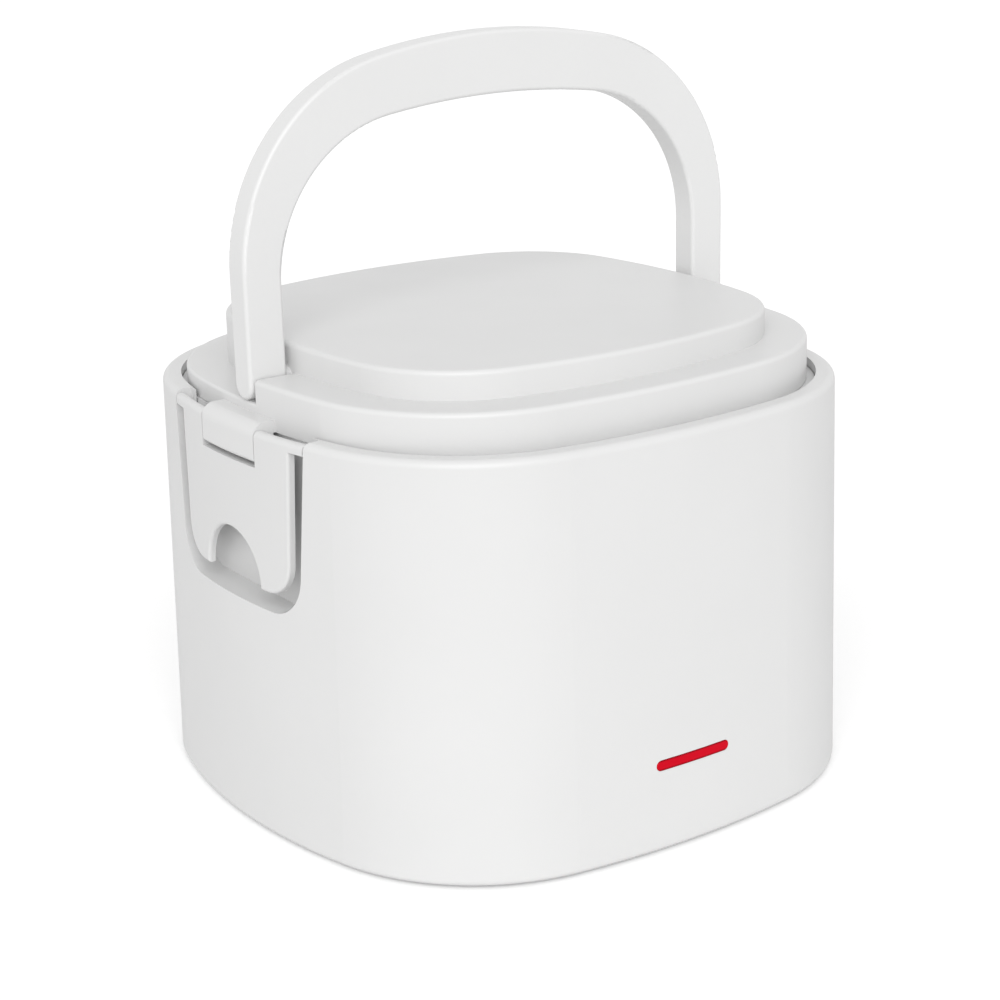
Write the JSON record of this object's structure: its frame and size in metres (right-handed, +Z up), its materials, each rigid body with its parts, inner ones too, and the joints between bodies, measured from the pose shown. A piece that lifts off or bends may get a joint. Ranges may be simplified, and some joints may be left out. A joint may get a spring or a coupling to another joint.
{
  "type": "portable food warmer",
  "caption": "Bulged square electric food warmer with a lift-out steel container, a two-tier lid, a folding arched handle and a latch on each side.",
  "frame": {"origin": "on the floor under the middle of the body, at the underside of the rubber feet", "axes": "+Z up, the front with the lamp faces -Y, the power inlet faces +Y, the latches face -X and +X"},
  "size_m": [0.1734, 0.1734, 0.2048],
  "materials": {
    "white_housing": "moulded, satin gloss",
    "white_lid": "moulded, satin gloss",
    "white_handle": "moulded, satin gloss",
    "white_latch": "moulded, satin gloss",
    "inner_plastic": "moulded, fine grain",
    "base_plastic": "moulded, fine grain",
    "frosted_plastic": "translucent, satin",
    "container_steel": "deep drawn, satin",
    "silicone": "soft, pale",
    "foot_rubber": "soft, black",
    "plate_aluminium": "die cast, fine turned",
    "element_ceramic": null,
    "sheet_steel": "zinc plated",
    "screw_steel": "zinc plated",
    "pin_steel": "ground",
    "thermostat_black": "phenolic",
    "fuse_sleeve": "glass sleeve",
    "inlet_black": "moulded, satin",
    "contact_brass": "bright",
    "lens_red": "clear red, polished",
    "board_green": "solder mask",
    "lamp_resin": "cast resin",
    "wire_sleeve": "silicone sleeve",
    "foam": null
  },
  "bodies": {
    "base": {"outer_housing": "white_housing", "heating_well": "inner_plastic", "base_plate": "base_plastic", "rubber_feet": "foot_rubber", "base_screws": "screw_steel", "heating_plate": "plate_aluminium", "plate_seal": "silicone", "heating_element": "element_ceramic", "element_clamp": "sheet_steel", "clamp_screws": "screw_steel", "thermostat": "thermostat_black", "thermal_fuse": "fuse_sleeve", "heat_shield": "sheet_steel", "power_inlet": "inlet_black", "inlet_pins": "contact_brass", "inlet_screws": "screw_steel", "indicator_lens": "lens_red", "indicator_board": "board_green", "indicator_lamps": "lamp_resin", "board_screws": "screw_steel", "live_wires": "wire_sleeve", "return_wires": "wire_sleeve", "lamp_wires": "wire_sleeve"},
    "container": {"food_container": "container_steel"},
    "inner_lid": {"container_lid": "frosted_plastic", "container_seal": "silicone", "steam_valve": "silicone"},
    "lid": {"lid_cover": "white_lid", "lid_liner": "inner_plastic", "lid_seal": "silicone", "lid_screws": "screw_steel", "lid_insulation": "foam", "handle_pins": "pin_steel", "latch_pins": "pin_steel"},
    "handle": {"carry_handle": "white_handle"},
    "latch_left": {"latch_left": "white_latch"},
    "latch_right": {"latch_right": "white_latch"}
  },
  "joints": [
    {"name": "container_lift", "type": "slide", "parent": "base", "child": "container", "axis": [0, 0, 1], "range_m": [0, 0.09]},
    {"name": "inner_lid_lift", "type": "slide", "parent": "container", "child": "inner_lid", "axis": [0, 0, 1], "range_m": [0, 0.04]},
    {"name": "lid_lift", "type": "slide", "parent": "inner_lid", "child": "lid", "axis": [0, 0, 1], "range_m": [0, 0.06]},
    {"name": "handle_fold", "type": "hinge", "parent": "lid", "child": "handle", "pos_m": [0, 0, 0.1207], "axis": [-1, 0, 0], "range_deg": [0, 90]},
    {"name": "latch_left_open", "type": "hinge", "parent": "lid", "child": "latch_left", "pos_m": [-0.0816, 0, 0.1086], "axis": [0, 1, 0], "range_deg": [0, 90]},
    {"name": "latch_right_open", "type": "hinge", "parent": "lid", "child": "latch_right", "pos_m": [0.0816, 0, 0.1086], "axis": [0, -1, 0], "range_deg": [0, 90]}
  ]
}
